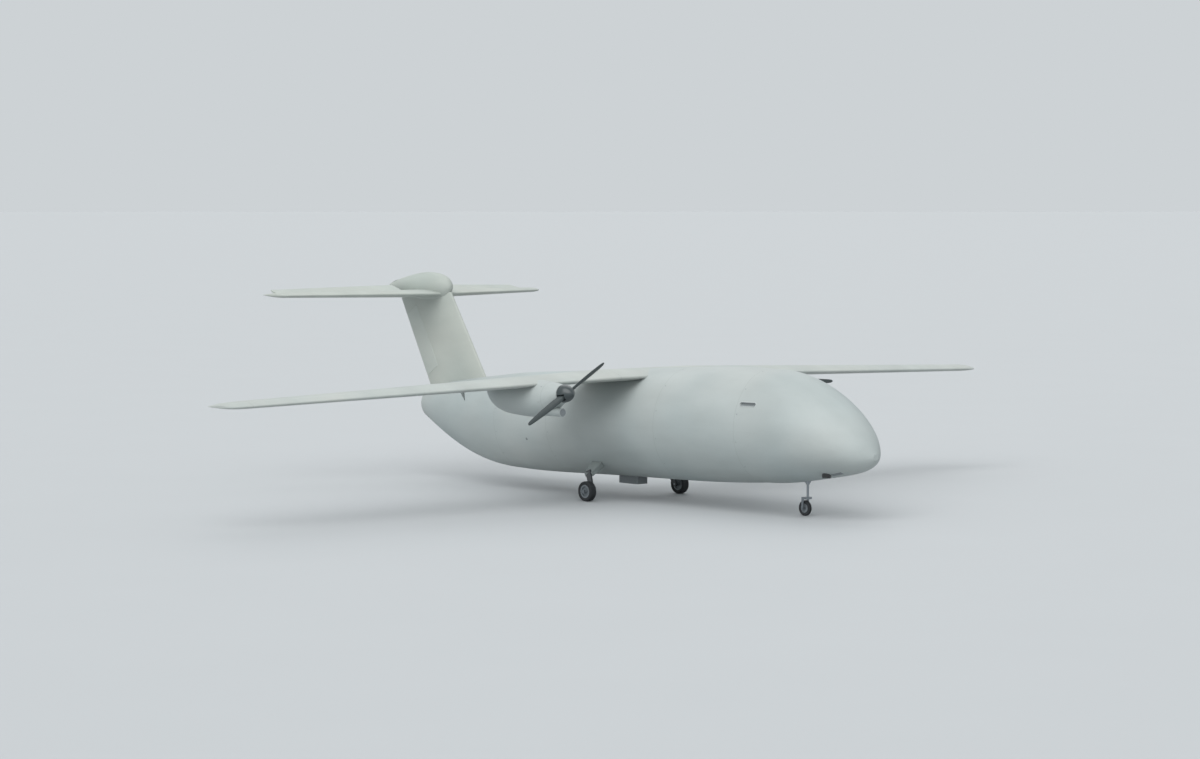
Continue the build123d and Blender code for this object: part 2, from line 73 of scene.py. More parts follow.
# In the body level with the plug: forward, to port and up from the aircraft's middle on the ground
PLUG_PLACE = Vector((-0.3095, 0, 0.2138))
# A tyre's side. Columns: share of the way from the rim to the tread, share of half the width
TYRE_SIDE = ((0.3, 0.97), (0.5, 1.0), (0.66, 0.995), (0.8, 0.965), (0.9, 0.9), (0.965, 0.8), (1.0, 0.66))


def linear(hex_colour):
    """A linear colour with full alpha from an sRGB hex value."""
    channels = [int(hex_colour[i:i + 2], 16) / 255 for i in (1, 3, 5)]
    return (*[c / 12.92 if c <= 0.04045 else ((c + 0.055) / 1.055) ** 2.4 for c in channels], 1.0)


# Settings

class AirframeSettings(bpy.types.PropertyGroup):
    colour: FloatVectorProperty(
        name="Airframe colour", description="Colour of the sintered shells", subtype="COLOR",
        size=4, min=0, max=1, default=linear("#CBCECA"),
    )
    grain: FloatProperty(
        name="Grain", description="Size of the powder grain that shows",
        default=1.4 * MM, min=0.1 * MM, max=10 * MM, subtype="DISTANCE", unit="LENGTH",
    )
    seam_width: FloatProperty(
        name="Seam width", description="Width of the joint lines between shells",
        default=1.8 * MM, min=0.2 * MM, max=10 * MM, subtype="DISTANCE", unit="LENGTH",
    )
    screw_radius: FloatProperty(
        name="Screw radius", description="Radius of the screw heads along the seams",
        default=2.6 * MM, min=0.5 * MM, max=8 * MM, subtype="DISTANCE", unit="LENGTH",
    )
    screws: IntProperty(
        name="Screws", description="Screws round each joint of the body", default=12, min=4, max=40
    )


class WheelSettings(bpy.types.PropertyGroup):
    tyre_colour: FloatVectorProperty(
        name="Tyre colour", description="Colour of the tyres' rubber", subtype="COLOR",
        size=4, min=0, max=1, default=linear("#2A2D30"),
    )
    hub_colour: FloatVectorProperty(
        name="Hub colour", description="Colour of the moulded wheel hubs", subtype="COLOR",
        size=4, min=0, max=1, default=linear("#7A8186"),
    )
    groove_depth: FloatProperty(
        name="Groove depth", description="Depth of the grooves round the tyres",
        default=0.8 * MM, min=0.1 * MM, max=3 * MM, subtype="DISTANCE", unit="LENGTH",
    )
    bolts: IntProperty(name="Hub bolts", description="Bolts round each main hub", default=6, min=3, max=10)


class PropellerSettings(bpy.types.PropertyGroup):
    blade_colour: FloatVectorProperty(
        name="Blade colour", description="Colour of the propeller blades", subtype="COLOR",
        size=4, min=0, max=1, default=linear("#3B4344"),
    )
    spinner_colour: FloatVectorProperty(
        name="Spinner colour", description="Colour of the spinners", subtype="COLOR",
        size=4, min=0, max=1, default=linear("#313A3C"),
    )
    radius: FloatProperty(
        name="Radius", description="From the propeller's axis to a blade's tip",
        default=215 * MM, min=50 * MM, max=215 * MM, subtype="DISTANCE", unit="LENGTH",
    )
    hub_radius: FloatProperty(
        name="Hub radius", description="Radius of the hub inside the spinner",
        default=13 * MM, min=5 * MM, max=30 * MM, subtype="DISTANCE", unit="LENGTH",
    )
    hub_depth: FloatProperty(
        name="Hub depth", description="From the spinner's back plate to the blades' middle",
        default=17 * MM, min=5 * MM, max=30 * MM, subtype="DISTANCE", unit="LENGTH",
    )
    shaft_radius: FloatProperty(
        name="Shaft radius", description="Radius of the shaft that runs back into the motor",
        default=4 * MM, min=1 * MM, max=8 * MM, subtype="DISTANCE", unit="LENGTH",
    )


class VentSettings(bpy.types.PropertyGroup):
    place: FloatProperty(
        name="Place", description="Middle of each side slot, forward of the aircraft's middle",
        default=952 * MM, min=800 * MM, max=1100 * MM, subtype="DISTANCE", unit="LENGTH",
    )
    rise: FloatProperty(
        name="Rise", description="Middle of each side slot, above the ground",
        default=413 * MM, min=300 * MM, max=450 * MM, subtype="DISTANCE", unit="LENGTH",
    )
    length: FloatProperty(
        name="Length", description="Length of each side slot",
        default=74 * MM, min=20 * MM, max=150 * MM, subtype="DISTANCE", unit="LENGTH",
    )
    height: FloatProperty(
        name="Height", description="Height of each side slot",
        default=10 * MM, min=4 * MM, max=30 * MM, subtype="DISTANCE", unit="LENGTH",
    )


class StudioSettings(bpy.types.PropertyGroup):
    floor_colour: FloatVectorProperty(
        name="Floor colour", description="Colour of the studio floor", subtype="COLOR",
        size=4, min=0, max=1, default=linear("#B4B7B9"),
    )
    camera_place: FloatVectorProperty(
        name="Camera place", description="Place of the camera from the aircraft's middle on the ground",
        size=3, default=(8.860, -7.871, 1.135), subtype="XYZ", unit="LENGTH",
    )
    heading: FloatProperty(
        name="Heading", description="Way that the camera looks, turned from port towards aft",
        default=radians(48.6), min=-pi, max=pi, subtype="ANGLE", unit="ROTATION",
    )
    dip: FloatProperty(
        name="Dip", description="How far the camera looks down",
        default=radians(3.27), min=-pi / 2, max=pi / 2, subtype="ANGLE", unit="ROTATION",
    )
    lens: FloatProperty(
        name="Lens", description="Focal length on a 36 mm wide sensor",
        default=90, min=10, max=400, unit="CAMERA",
    )


SETTINGS = (
    ("airframe_finish", AirframeSettings),
    ("wheel_finish", WheelSettings),
    ("propeller_finish", PropellerSettings),
    ("vent_finish", VentSettings),
    ("studio", StudioSettings),
)


# Finishes

# A Mix node's sockets for colours share their names with others, so they are told apart by number.
MIX_SHARE, MIX_FIRST, MIX_SECOND, MIX_RESULT = 0, 6, 7, 2
# Bands in one metre of a Wave texture at scale 1: along X, and along each axis for diagonal ones
STRAIGHT_BANDS, DIAGONAL_BANDS = 3.18, 1.59


def add_node(tree, kind, values=None, links=None, **settings):
    """Adds a node, sets its sockets and settings, and links other nodes' outputs to its inputs."""
    made = tree.nodes.new(kind)
    for name, value in settings.items():
        setattr(made, name, value)
    for key, value in (values or {}).items():
        made.inputs[key].default_value = value
    for key, source in (links or {}).items():
        tree.links.new(source, made.inputs[key])
    return made


def bare_material(name, roughness, metallic=0.0, ior=1.5, coat=0.0):
    """A material with its plain values set: it, its node tree, and the place on the object in metres."""
    material = bpy.data.materials.new(name)
    material.use_nodes = True
    tree = material.node_tree
    shader = tree.nodes["Principled BSDF"]
    shader.inputs["Roughness"].default_value = roughness
    shader.inputs["Metallic"].default_value = metallic
    shader.inputs["IOR"].default_value = ior
    shader.inputs["Coat Weight"].default_value = coat
    return material, tree, add_node(tree, "ShaderNodeTexCoord").outputs["Object"]


def dress(tree, colour, height=None, relief=0.0, strength=1.0):
    """Links a colour to the material's shader, and raises its surface by height, with relief in metres."""
    shader = tree.nodes["Principled BSDF"]
    tree.links.new(colour, shader.inputs["Base Color"])
    if height is not None:
        bump = add_node(
            tree, "ShaderNodeBump", {"Distance": relief, "Strength": strength}, {"Height": height}
        )
        tree.links.new(bump.outputs["Normal"], shader.inputs["Normal"])


def toned(colour, tone):
    """The colour with each channel multiplied by its share in tone."""
    return (*[min(channel * share, 1.0) for channel, share in zip(colour, tone)], 1.0)


def dimmed(colour, share):
    """The colour with every channel multiplied by share."""
    return toned(colour, (share, share, share))


def mottled(tree, place, colour, size, depth, detail=2.0):
    """The colour in blotches about size metres across, darker by depth on the whole, and their pattern."""
    noise = add_node(
        tree, "ShaderNodeTexNoise", {"Scale": 1 / size, "Detail": detail}, {"Vector": place}
    ).outputs["Fac"]
    mixed = add_node(
        tree, "ShaderNodeMix", {MIX_FIRST: dimmed(colour, 1 - 2 * depth), MIX_SECOND: colour},
        {MIX_SHARE: noise}, data_type="RGBA",
    )
    return mixed.outputs[MIX_RESULT], noise


def seamed(tree, place, surface, seams, width, colour, share):
    """The surface's colour with a share of another on the joint lines at seams."""
    axes = add_node(tree, "ShaderNodeSeparateXYZ", links={0: place})
    lines = None
    for axis, where in seams:
        along = axes.outputs[axis]
        if axis == "Y":
            # The joints across the wing are alike on both sides.
            along = add_node(tree, "ShaderNodeMath", links={0: along}, operation="ABSOLUTE").outputs[0]
        line = add_node(
            tree, "ShaderNodeMath", {1: where, 2: width / 2}, {0: along}, operation="COMPARE"
        ).outputs[0]
        lines = line if lines is None else add_node(
            tree, "ShaderNodeMath", links={0: lines, 1: line}, operation="MAXIMUM"
        ).outputs[0]
    faint = add_node(tree, "ShaderNodeMath", {1: share}, {0: lines}, operation="MULTIPLY").outputs[0]
    return add_node(
        tree, "ShaderNodeMix", {MIX_SECOND: colour}, {MIX_SHARE: faint, MIX_FIRST: surface}, data_type="RGBA"
    ).outputs[MIX_RESULT]


def sintered_nylon(name, seams=(), tone=(1, 1, 1)):
    """Laser-sintered nylon 12, bead blasted: pale, dead matt, slightly grainy, and cloudy where the powder
    took the heat unevenly. seams are pairs of an axis and a place in metres with a joint line between shells.
    tone is a share of each channel: painted shade on the body and the leg cuffs, painted light on the tail
    and the rudder, and the batch's own shade on the wing and the nacelles."""
    settings = bpy.context.scene.airframe_finish
    colour = toned(settings.colour, tone)
    material, tree, place = bare_material(name, 0.6, ior=1.53)
    # Clouds are 110 mm across, and longer along the body, as the powder is spread.
    spread = add_node(tree, "ShaderNodeMapping", {"Scale": (0.45, 1, 1)}, {"Vector": place}).outputs["Vector"]
    cloudy, _ = mottled(tree, spread, colour, 110 * MM, depth=0.13, detail=5.0)
    # A cooler shade in areas 350 mm across
    cool = add_node(
        tree, "ShaderNodeTexNoise", {"Scale": 1 / (350 * MM), "Detail": 1.0}, {"Vector": place}
    ).outputs["Fac"]
    cloudy = add_node(
        tree, "ShaderNodeMix", {MIX_SECOND: linear("#DCE8ED")}, {MIX_SHARE: cool, MIX_FIRST: cloudy},
        data_type="RGBA", blend_type="MULTIPLY",
    ).outputs[MIX_RESULT]
    # The powder grain is about 0.1 mm. It is drawn at the coarser size of the setting, so that it shows.
    fine, grain = mottled(tree, place, (1, 1, 1, 1), settings.grain, depth=0.05)
    surface = add_node(
        tree, "ShaderNodeMix", {MIX_SHARE: 1.0}, {MIX_FIRST: cloudy, MIX_SECOND: fine},
        data_type="RGBA", blend_type="MULTIPLY",
    ).outputs[MIX_RESULT]
    if seams:
        surface = seamed(tree, place, surface, seams, settings.seam_width, dimmed(colour, 0.35), share=0.3)
    dress(tree, surface, grain, relief=0.12 * MM, strength=0.5)
    return material


def glass_filled_nylon(name, colour):
    """Glass-filled nylon, injection moulded: dark, satin, with a faint flow mottle."""
    material, tree, place = bare_material(name, 0.4, ior=1.53)
    surface, _ = mottled(tree, place, colour, 9 * MM, depth=0.12)
    # Moulding grain is 0.2 mm and is drawn at 0.8 mm.
    _, grain = mottled(tree, place, colour, 0.8 * MM, depth=0.05)
    dress(tree, surface, grain, relief=0.05 * MM, strength=0.4)
    return material


def painted_abs(name, colour):
    """ABS, moulded and sprayed: an even coat with a soft, broad gloss."""
    material, tree, place = bare_material(name, 0.36, ior=1.54, coat=0.25)
    # The coat's ripple is a few millimetres long and is drawn at 14 mm.
    surface, ripple = mottled(tree, place, colour, 14 * MM, depth=0.06)
    dress(tree, surface, ripple, relief=0.05 * MM, strength=0.3)
    return material


def moulded_rubber(name, colour):
    """Carbon-black rubber, moulded: near black and dull, with dust in its fine texture."""
    material, tree, place = bare_material(name, 0.82, ior=1.52)
    surface, _ = mottled(tree, place, colour, 7 * MM, depth=0.2, detail=5.0)
    _, grain = mottled(tree, place, colour, 0.5 * MM, depth=0.1)
    dress(tree, surface, grain, relief=0.1 * MM, strength=0.6)
    return material


def carbon_twill(name):
    """Carbon fibre twill in epoxy, press moulded: near black, with a diagonal weave under clear resin."""
    material, tree, place = bare_material(name, 0.42, ior=1.55, coat=0.6)
    # Each tow is 2 mm wide, so a band, light and dark, is 4 mm.
    tow = 2 * MM
    tows = add_node(
        tree, "ShaderNodeTexWave", {"Scale": 1 / (2 * tow) / DIAGONAL_BANDS, "Distortion": 0.4},
        {"Vector": place}, bands_direction="DIAGONAL",
    ).outputs["Fac"]
    surface = add_node(
        tree, "ShaderNodeMix", {MIX_FIRST: linear("#17191B"), MIX_SECOND: linear("#3A3F43")},
        {MIX_SHARE: tows}, data_type="RGBA",
    ).outputs[MIX_RESULT]
    dress(tree, surface, tows, relief=0.1 * MM, strength=0.3)
    return material


def ground_steel(name, colour="#8F959A"):
    """Stainless steel, drawn and ground: grey, with fine lines round the bar that spread its shine."""
    material, tree, place = bare_material(name, 0.34, metallic=1.0)
    # Grinding lines are under 0.1 mm wide. They are drawn 0.4 mm wide and are 12 times as long.
    width, stretch = 0.4 * MM, 12
    drawn_out = add_node(
        tree, "ShaderNodeMapping", {"Scale": (1, 1, stretch)}, {"Vector": place}
    ).outputs["Vector"]
    surface, lines = mottled(tree, drawn_out, linear(colour), width * stretch, depth=0.1, detail=4.0)
    dress(tree, surface, lines, relief=0.02 * MM, strength=0.4)
    return material


def anodised_aluminium(name):
    """Aluminium, turned and anodised grey: fine turning rings under a satin film."""
    material, tree, place = bare_material(name, 0.38, metallic=1.0)
    # Turning marks are 0.2 mm apart and are drawn 0.8 mm apart.
    rings = add_node(
        tree, "ShaderNodeTexWave", {"Scale": 1 / (0.8 * MM) / STRAIGHT_BANDS}, {"Vector": place},
        bands_direction="X",
    ).outputs["Fac"]
    surface, _ = mottled(tree, place, linear("#5A5D60"), 5 * MM, depth=0.05)
    dress(tree, surface, rings, relief=0.03 * MM, strength=0.3)
    return material


def shrunk_film(name):
    """PVC film, heat shrunk round cells: dark, wrinkled and slightly glossy."""
    material, tree, place = bare_material(name, 0.3, ior=1.54)
    surface, folds = mottled(tree, place, linear("#2B3540"), 18 * MM, depth=0.1, detail=3.0)
    dress(tree, surface, folds, relief=0.5 * MM, strength=0.5)
    return material


def filter_foam(name):
    """Open-cell polyurethane foam: soft, dead matt and pitted."""
    colour = linear("#8D9396")
    material, tree, place = bare_material(name, 0.9)
    # Pores are 0.8 mm and are drawn at 1.6 mm.
    cells = add_node(
        tree, "ShaderNodeTexVoronoi", {"Scale": 1 / (1.6 * MM)}, {"Vector": place}
    ).outputs["Distance"]
    surface = add_node(
        tree, "ShaderNodeMix", {MIX_FIRST: dimmed(colour, 0.6), MIX_SECOND: colour}, {MIX_SHARE: cells},
        data_type="RGBA",
    ).outputs[MIX_RESULT]
    dress(tree, surface, cells, relief=0.4 * MM, strength=0.6)
    return material


def smoked_acrylic(name):
    """Acrylic, cast and dyed smoke black: a deep colour with a clear polish."""
    material, tree, place = bare_material(name, 0.12, ior=1.49, coat=0.5)
    surface, _ = mottled(tree, place, linear("#0D1012"), 12 * MM, depth=0.08)
    dress(tree, surface)
    return material


def painted_floor(name, colour):
    """Concrete under a pale, matt floor paint: even, with a faint roller mottle."""
    material, tree, place = bare_material(name, 0.7)
    surface, _ = mottled(tree, place, colour, 600 * MM, depth=0.012, detail=3.0)
    dress(tree, surface)
    return material


# Making pieces

def coat_node(node, material):
    """Gives a CAD node its one material."""
    mesh = NODES[node].data
    mesh.materials.clear()
    mesh.materials.append(material)
    for polygon in mesh.polygons:
        polygon.material_index = 0


def add_piece(name, shape, body, material, smooth=True):
    """Turns a bmesh in the row frame into an object that rides on a body."""
    if not shape.faces:
        raise RuntimeError(f"{name} has no faces")
    bmesh.ops.recalc_face_normals(shape, faces=shape.faces)
    mesh = bpy.data.meshes.new(name)
    shape.to_mesh(mesh)
    shape.free()
    mesh.materials.append(material)
    made = bpy.data.objects.new(name, mesh)
    bpy.context.scene.collection.objects.link(made)
    if smooth:
        mesh.shade_smooth()
        mesh.set_sharp_from_angle(angle=radians(35))
    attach(made, body)
    return made


def circle(radius, along, count, place):
    """Points round the local Z axis of place, at a height along it."""
    angles = [2 * pi * i / count for i in range(count)]
    return [place @ Vector((radius * cos(angle), radius * sin(angle), along)) for angle in angles]


def skinned(shape, rings, endless=False):
    """Adds to shape a skin over closed rings of as many points each, and closes both ends. An endless skin
    runs on from the last ring to the first instead."""
    made = [[shape.verts.new(point) for point in ring] for ring in rings]
    count = len(made[0])
    for here, after in zip(made, made[1:] + made[:1] if endless else made[1:]):
        for i in range(count):
            k = (i + 1) % count
            shape.faces.new((here[i], here[k], after[k], after[i]))
    if not endless:
        shape.faces.new(made[0])
        shape.faces.new(made[-1])


def revolved(shape, outline, place, steps):
    """Adds to shape the closed outline of (radius, along) points, turned about the local Z axis of place."""
    rings = []
    for i in range(steps):
        angle = 2 * pi * i / steps
        rings.append([place @ Vector((r * cos(angle), r * sin(angle), along)) for r, along in outline])
    skinned(shape, rings, endless=True)


def cylinder(shape, radius, low, high, place, steps):
    """Adds to shape a solid cylinder along the local Z axis of place, with its top edge broken."""
    outline = ((radius, low), (radius, high - 0.15 * radius), (radius * 0.85, high))
    skinned(shape, [circle(r, along, steps, place) for r, along in outline])


def screw(shape, radius, socket, low, high, place, steps=18):
    """Adds to shape a round head with a hexagonal socket in its top, socket being its width."""
    sides = 6
    outline = ((radius, low), (radius, high - 0.15 * radius), (radius * 0.85, high))
    rings = [[shape.verts.new(point) for point in circle(r, along, steps, place)] for r, along in outline]
    for lower, upper in zip(rings, rings[1:]):
        for i in range(steps):
            k = (i + 1) % steps
            shape.faces.new((lower[i], lower[k], upper[k], upper[i]))
    shape.faces.new(rings[0])
    rim = [shape.verts.new(point) for point in circle(socket / 2, high, sides, place)]
    floor = [shape.verts.new(point) for point in circle(socket / 2, high - 0.5 * radius, sides, place)]
    per_side = steps // sides
    for i in range(sides):
        k = (i + 1) % sides
        edge = [rings[-1][(i * per_side + j) % steps] for j in range(per_side + 1)]
        shape.faces.new(edge + [rim[k], rim[i]])
        shape.faces.new((rim[i], rim[k], floor[k], floor[i]))
    shape.faces.new(floor)


def screw_ring(shape, node, middle, reach, count, radius, socket):
    """Adds to shape screws in a node's skin, in a ring round middle and across X. The skin is looked for
    from reach metres away. Each head starts 0.6 mm under the skin and stands 0.35 mm proud."""
    for i in range(count):
        angle = 2 * pi * (i + 0.5) / count
        outside = middle + Vector((0, reach * cos(angle), reach * sin(angle)))
        screw(shape, radius, socket, -0.6 * MM, 0.35 * MM, facing(*skin_point(node, outside, middle)))


def hull(spots, axis):
    """The convex outline of spots that lie in a plane across axis."""
    across = axis.orthogonal().normalized()
    up = axis.cross(across)
    # Rows of a place in the plane, rounded to join spots that are alike, and its spot
    flat = sorted({(round(spot.dot(across), 6), round(spot.dot(up), 6)): spot for spot in spots}.items())

    def chain(rows):
        kept = []
        for row in rows:
            while len(kept) > 1:
                (x0, y0), (x1, y1), (x2, y2) = kept[-2][0], kept[-1][0], row[0]
                if (x1 - x0) * (y2 - y0) - (y1 - y0) * (x2 - x0) > 0:
                    break
                kept.pop()
            kept.append(row)
        return kept[:-1]

    return [spot for _, spot in chain(flat) + chain(flat[::-1])]


def smooth_row(rows, at):
    """The values at a share along rows whose first column rises, on a smooth curve through the rows."""
    i = 0
    while i < len(rows) - 2 and at > rows[i + 1][0]:
        i += 1
    here, after = rows[i], rows[i + 1]
    before, beyond = rows[max(i - 1, 0)], rows[min(i + 2, len(rows) - 1)]
    run = after[0] - here[0]
    t = (at - here[0]) / run
    values = []
    for k in range(1, len(here)):
        slope_in = (after[k] - before[k]) / (after[0] - before[0]) * run
        slope_out = (beyond[k] - here[k]) / (beyond[0] - here[0]) * run
        values.append(
            (2 * t**3 - 3 * t**2 + 1) * here[k] + (t**3 - 2 * t**2 + t) * slope_in
            + (3 * t**2 - 2 * t**3) * after[k] + (t**3 - t**2) * slope_out
        )
    return values


# Columns: share of the blade's length, chord and thickness in millimetres, pitch in degrees
BLADE_ROWS = (
    (0.05, 21.0, 9.5, 49.0),
    (0.16, 24.0, 7.2, 46.0),
    (0.30, 26.0, 5.4, 40.0),
    (0.45, 25.0, 4.2, 33.5),
    (0.60, 23.0, 3.5, 28.0),
    (0.75, 20.0, 2.9, 23.5),
    (0.88, 16.5, 2.3, 20.0),
    (0.95, 13.5, 1.8, 18.5),
    (0.985, 9.5, 1.3, 18.0),
    (1.0, 4.5, 0.8, 17.5),
)


def blade_section(share, length, place, steps=9):
    """A closed ring round a blade's aerofoil, its round edge leading and its arched face forward."""
    chord, thick, pitch = smooth_row(BLADE_ROWS, share)
    angle = radians(pitch)
    across = Vector((-sin(angle), cos(angle), 0))
    forward = Vector((cos(angle), sin(angle), 0))
    ring = []
    # s is a share of the chord, from the trailing edge over the front face, round the nose and back.
    for i in range(-steps, steps + 1):
        s = (1 - cos(pi * i / steps)) / 2
        # Half the thickness of a four-digit aerofoil with a closed trailing edge, on an arched middle line
        wall = 5 * (0.2969 * s**0.5 - 0.126 * s - 0.3516 * s**2 + 0.2843 * s**3 - 0.1 * s**4) * thick
        arch = 0.5 * thick * 4 * s * (1 - s)
        height = arch + wall if i < 0 else arch - wall
        flat = (across * (s - 0.5) * chord + forward * height) * MM
        ring.append(place @ (Vector((0, 0, share * length)) + flat))
    return ring


def facing(point, outward):
    """A place at point whose Z axis points outward."""
    return Matrix.Translation(point) @ outward.to_track_quat("Z", "Y").to_matrix().to_4x4()


def skin_point(node, origin, towards):
    """Where a line from origin first meets a node, and the skin's outward normal there."""
    hit, point, normal, _ = NODES[node].ray_cast(origin, (towards - origin).normalized())
    if not hit:
        raise RuntimeError(f"no skin of {node} between {tuple(origin)} and {tuple(towards)}")
    return point, normal if normal.dot(origin - point) > 0 else -normal


# Columns: distance outside the slot's edge and height above the skin, in millimetres
LIP_PROFILE = ((1.9, -1.0), (1.9, 0.8), (2.6, 1.4), (3.8, 1.0), (4.8, -0.4))
RIM_PROFILE = ((0.4, -1.0), (0.4, 0.4), (1.0, 0.7), (2.0, 0.7), (2.0, -1.0))


def slot_sections(vent, side, profile, steps=24):
    """Sections of profile at each step round the slot in one side of the nose."""
    middle = Vector((vent.place, 0, vent.rise))
    # The skin is looked for between these two distances from the middle of the aircraft.
    outside, inside = Vector((0, side * 0.5, 0)), Vector((0, side * 0.1, 0))
    sections = []
    for end in (1, -1):
        corner = middle + Vector((end * (vent.length - vent.height) / 2, 0, 0))
        for i in range(steps + 1):
            angle = pi * (i / steps - 0.5)
            across = Vector((end * cos(angle), 0, end * sin(angle)))
            section = []
            for out, up in profile:
                spot = corner + across * (vent.height / 2 + out * MM)
                point, normal = skin_point("body_nose", spot + outside, spot + inside)
                section.append(point + normal * up * MM)
            sections.append(section)
    return sections


# Operators

class AIRCRAFT_OT_stage(bpy.types.Operator):
    """Pale floor, soft lights, and the camera at the photograph's viewing angle"""
    bl_idname = "aircraft.stage"
    bl_label = "Studio"

    def execute(self, context):
        scene = context.scene
        studio = scene.studio
        camera_data = bpy.data.cameras.new("camera")
        camera = bpy.data.objects.new("camera", camera_data)
        scene.collection.objects.link(camera)
        camera_data.sensor_width = SENSOR_WIDTH
        camera_data.lens = studio.lens
        camera.location = studio.camera_place
        camera.rotation_euler = (pi / 2 - studio.dip, 0, studio.heading)
        scene.camera = camera

        # The floor reaches so far that its edge is lost in the distance.
        shape = bmesh.new()
        bmesh.ops.create_grid(shape, x_segments=1, y_segments=1, size=900)
        mesh = bpy.data.meshes.new("floor")
        shape.to_mesh(mesh)
        shape.free()
        mesh.materials.append(painted_floor("painted_floor", studio.floor_colour))
        floor = bpy.data.objects.new("floor", mesh)
        scene.collection.objects.link(floor)

        # Very wide soft lights, far away, so that the floor is lit evenly
        # Columns: name, direction that it comes from, width as an angle, watts a square metre
        for name, source, width, power in (
            ("key_light", (0.45, -0.72, 0.95), 58.0, 1.85),
            ("fill_light", (0.35, -0.9, 0.12), 70.0, 0.5),
            ("back_light", (-0.6, 0.6, 0.9), 50.0, 0.45),
        ):
            lamp_data = bpy.data.lights.new(name, "SUN")
            lamp_data.angle = radians(width)
            lamp_data.energy = power
            lamp = bpy.data.objects.new(name, lamp_data)
            scene.collection.objects.link(lamp)
            lamp.rotation_euler = Vector(source).to_track_quat("Z", "Y").to_euler()

        # A room that is brighter overhead, and as bright as the floor where it meets it
        world = bpy.data.worlds.new("studio_room")
        scene.world = world
        world.use_nodes = True
        tree = world.node_tree
        way = add_node(tree, "ShaderNodeTexCoord").outputs["Generated"]
        height = add_node(tree, "ShaderNodeSeparateXYZ", links={0: way}).outputs["Z"]
        upward = add_node(
            tree, "ShaderNodeMapRange", {"From Min": 0.1, "From Max": 0.9}, {"Value": height}
        ).outputs["Result"]
        walls = add_node(
            tree, "ShaderNodeMix", {MIX_FIRST: linear("#CDD2D5"), MIX_SECOND: linear("#DEE2E4")},
            {MIX_SHARE: upward}, data_type="RGBA",
        ).outputs[MIX_RESULT]
        tree.links.new(walls, tree.nodes["Background"].inputs["Color"])
        tree.nodes["Background"].inputs["Strength"].default_value = 1.0
        scene.view_settings.view_transform = "Standard"
        return {"FINISHED"}


class AIRCRAFT_OT_airframe(bpy.types.Operator):
    """Sintered nylon on every shell, wing, tail, nacelle and fairing, with the joint lines between them"""
    bl_idname = "aircraft.airframe"
    bl_label = "Airframe"

    def execute(self, context):
        body_joints = [("X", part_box(node)[0].x) for node in BODY_SHELLS[:-1]]
        wing_joints = [("Y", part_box("wing_panel_port")[0].y), ("Y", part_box("wingtip_port")[0].y)]
        cowl_joint = ("X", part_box("nacelle_port")[1].x - COWL_LENGTH)
        # Columns: material, joint lines, tone, nodes
        for name, seams, tone, nodes in (
            # The body's tone is darker and cooler than the wing's and the tail's: painted shade.
            ("sintered_nylon_body_painted_shade", body_joints, (0.87, 0.88, 0.885), BODY_SHELLS),
            # The cuffs' tone is much darker than the body's: painted shade, so that they sink into the shade
            # under the body.
            ("sintered_nylon_cuffs_painted_shade", (), (0.6, 0.61, 0.61), ("leg_cuff_port", "leg_cuff_stbd")),
            ("sintered_nylon_wing", wing_joints, (0.91, 0.90, 0.875),
             ("wing_centre", "wing_panel_port", "wing_panel_stbd", "wingtip_port", "wingtip_stbd",
              "aileron_port", "aileron_stbd")),
            # The tail's tone is lighter and warmer than the body's: painted light.
            ("sintered_nylon_tail_painted_light", (), (0.92, 0.905, 0.85),
             ("fin", "fin_fairing", "tailplane_port", "tailplane_stbd", "elevator_port", "elevator_stbd")),
            # The rudder's tone is lighter than the rest of the tail's: a painted highlight, as if it caught
            # more light.
            ("sintered_nylon_rudder_painted_highlight", (), (0.99, 0.98, 0.93), ("rudder",)),
            ("sintered_nylon_nacelle", (cowl_joint,), (0.89, 0.9, 0.905),
             ("nacelle_port", "nacelle_stbd", "air_intake_port", "air_intake_stbd")),
        ):
            material = sintered_nylon(name, seams, tone)
            for node in nodes:
                coat_node(node, material)
        return {"FINISHED"}


class AIRCRAFT_OT_screws(bpy.types.Operator):
    """Socket screws, sunk round the body's joints and the nacelles' cowls"""
    bl_idname = "aircraft.screws"
    bl_label = "Screws"

    def execute(self, context):
        settings = context.scene.airframe_finish
        radius = settings.screw_radius
        shape = bmesh.new()
        for node in BODY_SHELLS[:-1]:
            low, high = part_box(node)
            middle = Vector((low.x + SCREW_INSET, 0, (low.z + high.z) / 2))
            screw_ring(shape, node, middle, 0.8, settings.screws, radius, radius * 0.9)
        for name in SIDES:
            low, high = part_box(f"nacelle_{name}")
            x = high.x - COWL_LENGTH - COWL_SCREW_INSET
            middle = Vector((x, (low.y + high.y) / 2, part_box(f"motor_{name}")[0].z + MOTOR_RADIUS))
            screw_ring(shape, f"nacelle_{name}", middle, 0.2, 6, radius * 0.8, radius * 0.75)
        steel = ground_steel("ground_steel_screws", "#9CA1A5")
        add_piece("seam_screws", shape, "airframe", steel)
        return {"FINISHED"}


